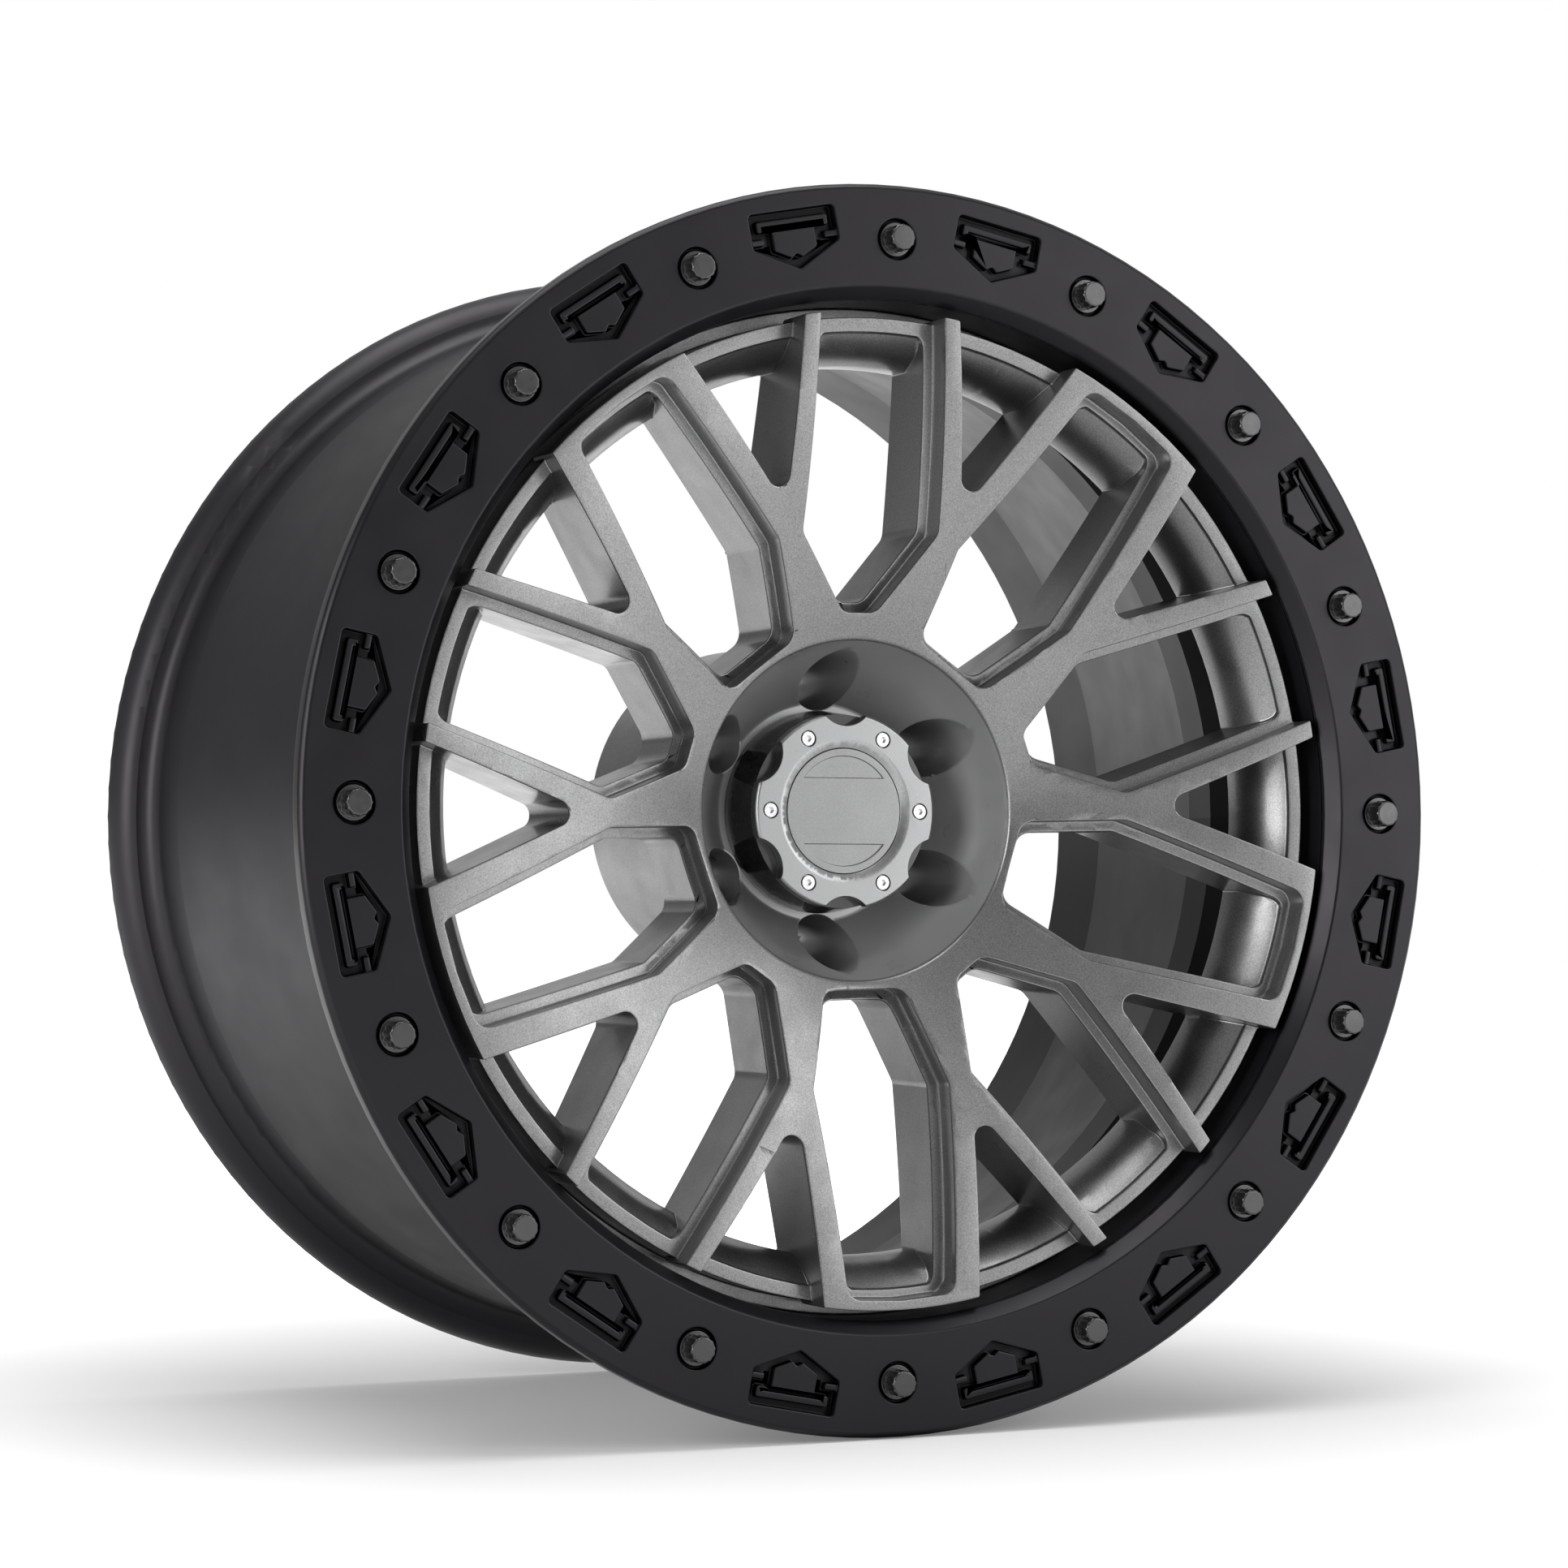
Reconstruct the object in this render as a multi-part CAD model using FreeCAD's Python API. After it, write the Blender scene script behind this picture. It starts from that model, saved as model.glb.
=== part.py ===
import FreeCAD, Part
import math
import os

V = FreeCAD.Vector

# Car wheel, 20 x 10 inch, six 120 mm spaced lug holes, with a bolted bead ring.
# Millimetres. The wheel's axis is Y, its front faces -Y and +Z is up. The origin is the centre
# of the hub pad, the rear face that seats on the car's hub.
# Every depth below is counted rearward from the front face of the bead ring.

# Rim contour and clamp ring, which every other radius outside the hub follows
bead_seat_r = 253.8          # 20 inch rim
flange_height = 17.2         # front flange above the bead seat
front_flange_r = bead_seat_r + flange_height
rear_flange_height = 19.6
rear_flange_r = bead_seat_r + rear_flange_height
ring_overhang = 5.8          # bead ring beyond the front flange
ring_outer_r = front_flange_r + ring_overhang
ring_face_w = 45.3
ring_inner_r = ring_outer_r - ring_face_w

# Hub
pad_depth = 167.0            # front of bead ring to hub pad
hub_r = 78.5                 # hub column
hub_edge_chamfer = 2.0
bore_r = 33.55               # centring bore for the car's hub
bore_length = 27.0
lug_count = 6
lug_circle_r = 60.0
lug_hole_r = 7.75
lug_seat_r = 11.5            # mouth of the conical nut seat
lug_pocket_r = 13.0          # well that the nut and its socket go into
lug_land = 17.0              # metal left between nut seat and pad
bowl_edge_r = 76.9           # rim of the front bowl
bowl_floor_r = 50.0
bowl_floor_depth = 83.0
bowl_bulge = 4.0             # how far the bowl wall swells out from a plain cone
cavity_r = 38.0              # front counterbore for the centre cap

# Spokes, their front lies on one dished surface of revolution
spoke_count = 10
spoke_clock = 1.2            # turn of the spoke star against the bolts, degrees
tip_gap = 10.0               # end of the ribs to inside of the bead ring
tip_r = ring_inner_r - tip_gap
tip_depth = 4.0
arm_length = 71.0            # crotch, where the two arms of a spoke part, to tip
crotch_r = tip_r - arm_length
crotch_depth = 14.5
bowl_edge_depth = 39.0
crotch_fillet = 5.5
arm_root_setback = 2.2       # arms start this far outside the crotch
crotch_half_angle = 21.4     # degrees, between spoke centreline and inner side of an arm
rib_height = 12.0            # raised front rib above the ledge
web_depth = 47.5             # front of rib to back of spoke
ledge_w = 5.0                # step beside the rib, in the large windows
stem_half_w = 6.2            # front of the stem, half width
fork_length = 22.5           # crotch to where the stem's sides turn out into the arms
fork_r = crotch_r - fork_length
closed_arm_lean = 22.7       # outer side of the arm beside a closed window, degrees
open_arm_lean = 19.9         # the same beside an open window
closed_hub_edge = 80.5       # axis to hub side of a closed window
open_hub_edge = 88.9         # axis to hub side of an open window
open_hub_half_w = 8.2        # half the hub side of an open window
window_fillet = 7.0
band_w = 4.5                 # thin band that joins two tips round a closed window

# Rim band of the spoke centre and the moat in front of its weld flange
band_setback = 2.0           # rim band inside the tips
band_outer_r = tip_r - band_setback
band_flat_w = 6.5
band_step = 2.0
rim_slope_w = 7.0
rim_slope_depth = 6.5
rim_wall_w = 19.5
rim_wall_r = band_outer_r - rim_wall_w
rim_wall_depth = 36.0
moat_depth = 36.0
weld_flange_t = 10.0
weld_gap = 0.1

# Bead ring
ring_t = 9.0
ring_edge_chamfer = 2.0
ring_bevel_depth = 7.0
ring_bolt_count = 16
first_bolt_angle = 90.0      # one bolt stands at the top
ring_bolt_edge = 24.3        # bolt circle to outer edge
ring_bolt_circle_r = ring_outer_r - ring_bolt_edge
ring_counterbore_r = 9.1
ring_counterbore_depth = 3.5
pocket_depth = 4.6
pocket_edge = 9.8            # long side of a house shaped pocket to outer edge
pocket_outer_r = ring_outer_r - pocket_edge
pocket_wall = 15.5           # length of its straight ends
pocket_shoulder_r = pocket_outer_r - pocket_wall
pocket_gable = 10.5          # height of its two sloped sides
pocket_apex_r = pocket_shoulder_r - pocket_gable
pocket_half_w = 21.0
pocket_fillet = 2.0
island_gap = 3.4             # floor left between pocket wall and island
island_drop = 1.2            # top of island below the ring's face
island_groove_w = 1.6
island_groove_depth = 1.4
island_groove_setback = 3.0  # groove behind the island's long side
island_notch_w = 8.4         # notch in the island at each shoulder
island_notch_depth = 7.0
island_notch_out = 3.0       # middle of the notch outside the shoulder
island_fillet = 1.2
ear_w = 2.8                  # tongue of the pocket wall that reaches into a notch
ear_length = 6.2
dent_half_w = 2.6            # small dent in the island's point
dent_depth = 1.8

# Ring bolts and the threaded inserts that take them
bolt_r = 4.0
bolt_clearance = 0.25
bolt_flange_r = 7.6
bolt_flange_t = 2.4
bolt_head_r = 6.1            # corner of the twelve point head
bolt_head_top = 7.0          # stands proud of the ring's face
bolt_top_chamfer = 0.9
bolt_length = 22.0           # under the flange
insert_r = 6.0
insert_length = 15.0
insert_recess = 0.5
insert_gap = 0.05
bolt_end_room = 2.0          # hole below an insert

# Barrel, a J flange rim with a drop centre
moat_lip = 5.5               # inside of the bead ring to front wall of the moat
barrel_bore_r = ring_inner_r - moat_lip
shoulder_w = 5.0             # step that the weld flange seats on
barrel_wall = 6.0
rim_width = 254.0            # between the tyre sides of the flanges
front_flange_side = 30.0     # depth of the front flange's tyre side
flange_root_r = 9.5
flange_chamfer = 1.0
flange_blend = 11.0          # curl of the front flange, from its edge to its tyre side
flange_crown_drop = 2.1
flange_crown_setback = 4.0
rear_curl = 13.0             # the same on the rear flange
rear_crown_drop = 3.0
rear_crown_setback = 5.0
rear_lip_round = 4.0
rear_edge_chamfer = 3.0
rear_lip_t = 17.0
bead_seat_w = 20.0
bead_seat_drop = 1.8         # taper of the seat over its width
well_drop = 24.8             # drop centre below the bead seat
well_r = bead_seat_r - well_drop
well_front = 104.0
well_rear = 124.0
front_wall_back = 6.0        # metal behind the shoulder that the weld flange seats on
valve_hole_r = 5.7
valve_depth = 114.0

# Centre cap
cap_front_depth = 52.0
cap_base_r = 46.5
cap_base_t = 4.0
cap_front_r = 44.0
cap_wall = 3.0
cap_plug_clearance = 0.4
cap_plug_length = 30.0
bezel_r = 44.8
bezel_t = 6.0
bezel_chamfer = 1.0
bezel_dish_r = 32.8
bezel_scallop_r = 14.0
bezel_scallop_floor_r = 38.6
disc_r = 28.4
disc_t = 2.5
disc_recess = 2.0
disc_seat_w = 3.0
disc_gap = 0.2
disc_panel_depth = 0.6
disc_panel_chord = 15.0      # axis to the straight side of a sunk panel
disc_panel_r = 25.0
cap_screw_count = 6
cap_screw_circle_r = 37.5
cap_screw_head_r = 3.1
cap_screw_head_t = 2.2
cap_screw_r = 1.5
cap_screw_length = 9.0
cap_screw_gap = 0.6          # counterbore round a screw head
cap_screw_socket_r = 1.6
cap_screw_socket_depth = 1.3
seal_cord_r = 1.6
seal_setback = 9.0           # bowl floor to middle of the seal
clip_wire_r = 1.3
clip_setback = 22.0
clip_opening = 40.0          # degrees missing from the retaining ring
groove_gap = 0.1
over_cut = 1.0               # how far a cutter runs past a face

axis_dir = V(0, -1, 0)
half_spoke_angle = 180.0 / spoke_count


def at(depth):
    """Height along Y of a depth counted from the front of the bead ring."""
    return depth - pad_depth


def turned(start, *steps):
    """Solid of revolution about the wheel axis.

    start and each step are (radius, depth). A step of two points is an arc through the
    first of them to the second.
    """
    def point(p):
        return V(p[0], at(p[1]), 0)

    edges = []
    here = point(start)
    for step in steps + (start,):
        if isinstance(step[0], tuple):
            middle, end = point(step[0]), point(step[1])
            edges.append(Part.Arc(here, middle, end).toShape())
        else:
            end = point(step)
            if (end - here).Length > 1e-6:
                edges.append(Part.makeLine(here, end))
        here = end
    face = Part.Face(Part.Wire(edges))
    return face.revolve(V(0, 0, 0), V(0, 1, 0), 360)


def tube(outer_r, inner_r, front, rear):
    """Plain ring between two depths, solid where inner_r is zero."""
    body = Part.makeCylinder(outer_r, rear - front, V(0, at(front), 0), V(0, 1, 0))
    if inner_r > 0:
        body = body.cut(Part.makeCylinder(inner_r, rear - front, V(0, at(front), 0), V(0, 1, 0)))
    return body


def pin(radius, circle_r, angle, front, rear):
    """Round bar parallel to the axis, on a circle about it."""
    foot = spin(V(circle_r, at(front), 0), angle)
    return Part.makeCylinder(radius, rear - front, foot, V(0, 1, 0))


def spin(point, angle):
    """A point turned about the axis, anticlockwise as seen from the front."""
    a = math.radians(angle)
    return V(point.x * math.cos(a) - point.z * math.sin(a), point.y,
             point.x * math.sin(a) + point.z * math.cos(a))


def turn(shape, angle):
    copy = shape.copy()
    copy.rotate(V(0, 0, 0), axis_dir, angle)
    return copy


def around(shape, count, start=0.0):
    """count copies spread evenly about the axis."""
    return [turn(shape, start + 360.0 * k / count) for k in range(count)]


def rounded(points, radius):
    """Closed flat outline at Y = 0 through (radial, tangential) points, corners rounded."""
    corners = [V(p[0], 0, p[1]) for p in points]
    edges = []
    leave = []
    enter = []
    for k, corner in enumerate(corners):
        before = (corners[k - 1] - corner).normalize()
        after = (corners[(k + 1) % len(corners)] - corner).normalize()
        half = before.getAngle(after) / 2
        set_back = radius / math.tan(half)
        middle = (before + after).normalize()
        enter.append(corner + before * set_back)
        leave.append(corner + after * set_back)
        tip = corner + middle * (radius / math.sin(half) - radius)
        edges.append(Part.Arc(enter[k], tip, leave[k]).toShape())
    for k in range(len(corners)):
        edges.append(Part.makeLine(leave[k], enter[(k + 1) % len(corners)]))
    return Part.Wire(Part.__sortEdges__(edges))


def prism(outline, front, rear):
    """Straight block from a flat outline, between two depths."""
    face = Part.Face(outline)
    face.translate(V(0, at(front), 0))
    return face.extrude(V(0, rear - front, 0))


# The dished front of the spokes is an arc through bowl edge, crotch and tip.
def arc_through(a, b, c):
    """Centre and radius, in (radius, depth), of the circle through three points."""
    ax, ay = a
    bx, by = b
    cx, cy = c
    d = 2 * (ax * (by - cy) + bx * (cy - ay) + cx * (ay - by))
    sa, sb, sc = ax * ax + ay * ay, bx * bx + by * by, cx * cx + cy * cy
    ux = (sa * (by - cy) + sb * (cy - ay) + sc * (ay - by)) / d
    uy = (sa * (cx - bx) + sb * (ax - cx) + sc * (bx - ax)) / d
    return ux, uy, math.hypot(ax - ux, ay - uy)


dish_r0, dish_d0, dish_size = arc_through(
    (bowl_edge_r, bowl_edge_depth), (crotch_r, crotch_depth), (tip_r, tip_depth))


def dish(radius):
    """Depth of the spoke front at a radius."""
    return dish_d0 - math.copysign(math.sqrt(dish_size ** 2 - (radius - dish_r0) ** 2), dish_d0)


# Outlines of the openings, in a frame whose first axis is the middle line of the opening.
spoke_lean = math.radians(half_spoke_angle)


def from_spoke(radial, tangential):
    """A point given beside a spoke's centreline, in the frame of the window next to it."""
    return (radial * math.cos(spoke_lean) + tangential * math.sin(spoke_lean),
            tangential * math.cos(spoke_lean) - radial * math.sin(spoke_lean))


def arm_side(lean, beyond):
    """Point on the outer side of an arm, at the given radius along the spoke."""
    return from_spoke(beyond, stem_half_w + (beyond - fork_r) * math.tan(math.radians(lean)))


def meet_circle(inner, outer, radius):
    """Where the line through two points reaches a circle about the axis."""
    du, dv = outer[0] - inner[0], outer[1] - inner[1]
    a = du * du + dv * dv
    b = inner[0] * du + inner[1] * dv
    c = inner[0] ** 2 + inner[1] ** 2 - radius ** 2
    t = (math.sqrt(b * b - a * c) - b) / a
    return inner[0] + t * du, inner[1] + t * dv


def stem_corner_closed():
    """Corner between hub side and stem of a closed window."""
    tangential = (stem_half_w - closed_hub_edge * math.sin(spoke_lean)) / math.cos(spoke_lean)
    return closed_hub_edge, tangential


def window(hub_corner, lean, outer_r):
    """Half outline of a large window mirrored to a whole one, as sharp corner points."""
    fork = from_spoke(fork_r, stem_half_w)
    rim = meet_circle(fork, arm_side(lean, tip_r), outer_r)
    crown = (outer_r, 0.0)
    lower = [hub_corner, fork, rim]
    upper = [(u, -v) for u, v in reversed(lower)]
    return lower + [crown] + upper


def shrunk(points, step):
    """The convex outline moved inward by step, as sharp corner points."""
    lines = []
    for k, (u0, v0) in enumerate(points):
        u1, v1 = points[(k + 1) % len(points)]
        length = math.hypot(u1 - u0, v1 - v0)
        normal = (-(v1 - v0) / length, (u1 - u0) / length)
        lines.append((normal, normal[0] * u0 + normal[1] * v0 + step))
    corners = []
    for k in range(len(lines)):
        (a1, b1), c1 = lines[k - 1]
        (a2, b2), c2 = lines[k]
        det = a1 * b2 - a2 * b1
        corners.append(((c1 * b2 - c2 * b1) / det, (a1 * c2 - a2 * c1) / det))
    return corners


closed_corner = stem_corner_closed()
open_corner = (open_hub_edge, -open_hub_half_w)
past_tip_r = tip_r + 3 * window_fillet
through = pad_depth


def triangle(reach_r):
    """Outline of the gap between the two arms of one spoke."""
    half = math.radians(crotch_half_angle)
    apex = crotch_r + crotch_fillet - crotch_fillet / math.sin(half)
    spread = (reach_r - apex) * math.tan(half)
    return rounded([(apex, 0.0), (reach_r, spread), (reach_r, -spread)], crotch_fillet)


def window_mould():
    """Round body that gives every opening its stepped and sloped rim side."""
    flat_edge = band_outer_r - band_flat_w
    slope_top = tip_depth + rib_height + band_step
    return turned((0.0, -ring_t), (flat_edge, -ring_t), (flat_edge, slope_top),
                  (flat_edge - rim_slope_w, slope_top + rim_slope_depth),
                  (rim_wall_r, rim_wall_depth), (rim_wall_r, through), (0.0, through))


def rib_layer():
    """Raised front of the spokes, with the thin bands round the closed windows."""
    mid_r = (bowl_edge_r + tip_r) / 2
    inner = (bowl_edge_r, dish(bowl_edge_r))
    layer = turned(inner, ((mid_r, dish(mid_r)), (tip_r, dish(tip_r))),
                   (tip_r, dish(tip_r) + 2 * rib_height),
                   ((mid_r, dish(mid_r) + 2 * rib_height), (bowl_edge_r, inner[1] + 2 * rib_height)))
    closed = rounded(window(closed_corner, closed_arm_lean, tip_r - band_w), window_fillet)
    opened = rounded(window(open_corner, open_arm_lean, past_tip_r), window_fillet)
    cuts = around(prism(closed, -ring_t, through), spoke_count // 2, 3 * half_spoke_angle + spoke_clock)
    cuts += around(prism(opened, -ring_t, through), spoke_count // 2, half_spoke_angle + spoke_clock)
    cuts += around(prism(triangle(past_tip_r), -ring_t, through), spoke_count, spoke_clock)
    return layer.cut(cuts)


def web_layer():
    """Wide rear part of the spokes with the rim band and its weld flange."""
    mid_r = (bowl_edge_r + band_outer_r) / 2
    weld_r = barrel_bore_r - weld_gap
    weld_rear = moat_depth + weld_flange_t
    band_top = tip_depth + rib_height
    hub_back = dish(bowl_edge_r) + web_depth
    ledge = [(r, dish(r) + rib_height) for r in (bowl_edge_r, mid_r)]
    back_mid = (mid_r, dish(mid_r) + web_depth)
    layer = turned(ledge[0], (ledge[1], (band_outer_r, band_top)), (band_outer_r, moat_depth),
                   (weld_r, moat_depth), (weld_r, weld_rear), (band_outer_r, weld_rear),
                   (back_mid, (bowl_edge_r, hub_back)))
    reach = band_outer_r
    closed = shrunk(window(closed_corner, closed_arm_lean, reach), ledge_w)
    opened = shrunk(window(open_corner, open_arm_lean, reach), ledge_w)
    half = spoke_count // 2
    cuts = around(prism(rounded(closed, window_fillet), -ring_t, through), half,
                  3 * half_spoke_angle + spoke_clock)
    cuts += around(prism(rounded(opened, window_fillet), -ring_t, through), half,
                   half_spoke_angle + spoke_clock)
    cuts += around(prism(triangle(reach), -ring_t, through), spoke_count, spoke_clock)
    mould = window_mould()
    return layer.cut([cut.common(mould) for cut in cuts])


def hub_column():
    """Column with the front bowl, cap cavity and centring bore."""
    bore_front = pad_depth - bore_length
    across = math.hypot(bowl_edge_r - bowl_floor_r, bowl_floor_depth - bowl_edge_depth)
    bulge = ((bowl_floor_depth - bowl_edge_depth) / across * bowl_bulge,
             (bowl_edge_r - bowl_floor_r) / across * bowl_bulge)
    wall_mid = ((bowl_edge_r + bowl_floor_r) / 2 + bulge[0],
                (bowl_edge_depth + bowl_floor_depth) / 2 + bulge[1])
    return turned((bore_r, pad_depth), (hub_r - hub_edge_chamfer, pad_depth),
                  (hub_r, pad_depth - hub_edge_chamfer), (hub_r, dish(hub_r)),
                  (bowl_edge_r, bowl_edge_depth), (wall_mid, (bowl_floor_r, bowl_floor_depth)),
                  (cavity_r, bowl_floor_depth), (cavity_r, bore_front), (bore_r, bore_front))


def lug_wells():
    """Cutters for the nut wells, their conical seats and the stud holes."""
    seat_rear = pad_depth - lug_land
    seat_front = seat_rear - (lug_seat_r - lug_hole_r) * math.sqrt(3)
    well = Part.makeCylinder(lug_pocket_r, seat_front, V(lug_circle_r, at(0), 0), V(0, 1, 0))
    seat = Part.makeCone(lug_seat_r, lug_hole_r, seat_rear - seat_front,
                         V(lug_circle_r, at(seat_front), 0), V(0, 1, 0))
    stud = Part.makeCylinder(lug_hole_r, 2 * lug_land, V(lug_circle_r, at(seat_rear - over_cut), 0), V(0, 1, 0))
    cutter = well.fuse([seat, stud])
    return around(cutter, lug_count, 180.0 / lug_count)


# The one-piece spoke star is handed on in simple bars and blocks that meet face to face, so that
# the openings between them stay open. They are parted where the hub ends, where the stem forks,
# where the arms part and where the rim band starts.
stem_root = ((closed_hub_edge + ledge_w - (stem_half_w + ledge_w) * math.sin(spoke_lean))
             / math.cos(spoke_lean))
arm_root = crotch_r + arm_root_setback


def spoke_block(near, far, low, high):
    """Block between two distances along a spoke and two angles beside its centreline."""
    left, right = math.tan(math.radians(low)), math.tan(math.radians(high))
    corners = [V(near, 0, near * left), V(far, 0, far * left), V(far, 0, far * right),
               V(near, 0, near * right)]
    return prism(Part.makePolygon(corners + corners[:1]), -ring_t, through)


def parted(star, cutter):
    """The same bit of every spoke. Spokes differ in pairs, so two are cut and then repeated."""
    bits = []
    for k in range(2):
        here = turn(cutter, 2 * half_spoke_angle * k + spoke_clock)
        bits += around(star.common(here).removeSplitter(), spoke_count // 2)
    return bits


def hub(star):
    """Hub column with the part of the star between the stems' roots, and the lug wells."""
    corner_r = stem_root / math.cos(spoke_lean)
    corners = [spin(V(corner_r, 0, 0), half_spoke_angle * (2 * k + 1) + spoke_clock)
               for k in range(spoke_count)]
    collar = star.common(prism(Part.makePolygon(corners + corners[:1]), -ring_t, through))
    return collar.fuse(hub_column()).cut(lug_wells()).removeSplitter()


def spoke_stems(star):
    """Stem of each spoke up to its fork, and the fork up to the crotch."""
    half = half_spoke_angle
    return (parted(star, spoke_block(stem_root, fork_r, -half, half))
            + parted(star, spoke_block(fork_r, arm_root, -half, half)))


def spoke_arms(star):
    """Two arms of each spoke, from the crotch to the rim band."""
    half = half_spoke_angle
    inside = tube(rim_wall_r, 0, -ring_t, through)
    return (parted(star, spoke_block(arm_root, tip_r, -half, 0).common(inside))
            + parted(star, spoke_block(arm_root, tip_r, 0, half).common(inside)))


def spoke_rim(star):
    """Rim band with the tips of the arms and the weld flange, one block for each arm."""
    half = half_spoke_angle
    outside = tube(barrel_bore_r, rim_wall_r, -ring_t, through)
    return (parted(star, spoke_block(arm_root, 2 * tip_r, -half, 0).common(outside))
            + parted(star, spoke_block(arm_root, 2 * tip_r, 0, half).common(outside)))


def barrel():
    """Outer rim: front flange wall, bead seats, drop centre and rear flange."""
    rear_side = front_flange_side + rim_width
    root = flange_root_r
    diag = root * (1 - math.sqrt(0.5))
    front_root_mid = (bead_seat_r + diag, front_flange_side + diag)
    rear_root_mid = (bead_seat_r + diag, rear_side - diag)
    front_seat = front_flange_side + root
    rear_seat = rear_side - root
    low_seat_r = bead_seat_r - bead_seat_drop
    shoulder = moat_depth + weld_flange_t
    front_crown = (front_flange_r - flange_crown_drop, front_flange_side - flange_crown_setback)
    inner_well_r = well_r - barrel_wall
    rear_inner_r = low_seat_r - barrel_wall
    shoulder_r = barrel_bore_r - shoulder_w
    lip_rear = rear_side + rear_lip_t
    lip_diag = rear_lip_round * (1 - math.sqrt(0.5))
    rear_crown = (rear_flange_r - rear_crown_drop, rear_side + rear_crown_setback)
    rear_lip_mid = (rear_flange_r - lip_diag, lip_rear - lip_diag)
    body = turned(
        (barrel_bore_r, ring_t), (front_flange_r - flange_chamfer, ring_t),
        (front_flange_r, ring_t + flange_chamfer), (front_flange_r, front_flange_side - flange_blend),
        (front_crown, (bead_seat_r + root, front_flange_side)),
        (front_root_mid, (bead_seat_r, front_seat)), (low_seat_r, front_seat + bead_seat_w),
        (well_r, well_front), (well_r, well_rear), (low_seat_r, rear_seat - bead_seat_w),
        (bead_seat_r, rear_seat), (rear_root_mid, (bead_seat_r + root, rear_side)),
        (rear_crown, (rear_flange_r, rear_side + rear_curl)),
        (rear_lip_mid, (rear_flange_r - rear_lip_round, lip_rear)),
        (rear_inner_r + rear_edge_chamfer, lip_rear), (rear_inner_r, lip_rear - rear_edge_chamfer),
        (rear_inner_r, rear_seat - bead_seat_w), (inner_well_r, well_rear), (inner_well_r, well_front),
        (rear_inner_r, shoulder + front_wall_back), (shoulder_r, shoulder + front_wall_back),
        (shoulder_r, shoulder), (barrel_bore_r, shoulder))
    cuts = []
    insert_rear = ring_t + insert_recess + insert_length
    for k in range(ring_bolt_count):
        angle = first_bolt_angle + 360.0 * k / ring_bolt_count
        cuts.append(pin(insert_r + insert_gap, ring_bolt_circle_r, angle, ring_t - over_cut, insert_rear))
        cuts.append(pin(bolt_r + bolt_clearance, ring_bolt_circle_r, angle, insert_rear - over_cut,
                        insert_rear + bolt_end_room))
    cuts.append(Part.makeCylinder(valve_hole_r, 4 * barrel_wall,
                                  V(0, at(valve_depth), barrel_wall - inner_well_r), V(0, 0, -1)))
    return body.cut(cuts)


def island(house):
    """Raised middle of a pocket, notched at both shoulders and dented at its point."""
    end, shoulder, point = shrunk(house[::-1], island_gap)[2:]
    slope = (shoulder[0] - point[0]) / shoulder[1]
    notch_low = pocket_shoulder_r + island_notch_out - island_notch_w / 2
    notch_high = notch_low + island_notch_w
    notch_v = end[1] - island_notch_depth
    half = [(point[0] + dent_depth + slope * dent_half_w, 0.0),
            (point[0] + slope * dent_half_w, dent_half_w),
            (point[0] + slope * notch_v, notch_v), (notch_high, notch_v), (notch_high, end[1]), end]
    outline = half + [(u, -v) for u, v in reversed(half[1:])]
    block = prism(rounded(outline, island_fillet), island_drop, pocket_depth)
    groove_r = end[0] - island_groove_setback - island_groove_w
    groove = Part.makeBox(island_groove_w, island_groove_depth, 2 * end[1] - 2 * island_groove_setback,
                          V(groove_r, at(island_drop), island_groove_setback - end[1]))
    return block.cut(groove)


def pocket_ears():
    """Tongues of the pocket's ends that reach into the notches of the island."""
    ear_r = pocket_shoulder_r + island_notch_out - ear_w / 2
    return [Part.makeBox(ear_w, pocket_depth, ear_length + over_cut,
                         V(ear_r, at(island_drop), z))
            for z in (pocket_half_w - ear_length, -pocket_half_w - over_cut)]


def bead_ring():
    """Flat clamp ring with bolt counterbores and sunk house shaped pockets."""
    c = ring_edge_chamfer
    body = turned((ring_inner_r, 0), (ring_outer_r - c, 0), (ring_outer_r, c), (ring_outer_r, ring_t),
                  (barrel_bore_r, ring_t), (barrel_bore_r, ring_bevel_depth))
    house = [(pocket_apex_r, 0), (pocket_shoulder_r, pocket_half_w), (pocket_outer_r, pocket_half_w),
             (pocket_outer_r, -pocket_half_w), (pocket_shoulder_r, -pocket_half_w)]
    pocket = prism(rounded(house[::-1], pocket_fillet), -over_cut, pocket_depth)
    sunk = pocket.cut([island(house)] + pocket_ears())
    half_step = 180.0 / ring_bolt_count
    cuts = around(sunk, ring_bolt_count, first_bolt_angle + half_step)
    for k in range(ring_bolt_count):
        angle = first_bolt_angle + 360.0 * k / ring_bolt_count
        cuts.append(pin(ring_counterbore_r, ring_bolt_circle_r, angle, -over_cut, ring_counterbore_depth))
        cuts.append(pin(bolt_r + bolt_clearance, ring_bolt_circle_r, angle, -over_cut, ring_t + over_cut))
    return body.cut(cuts)


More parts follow.
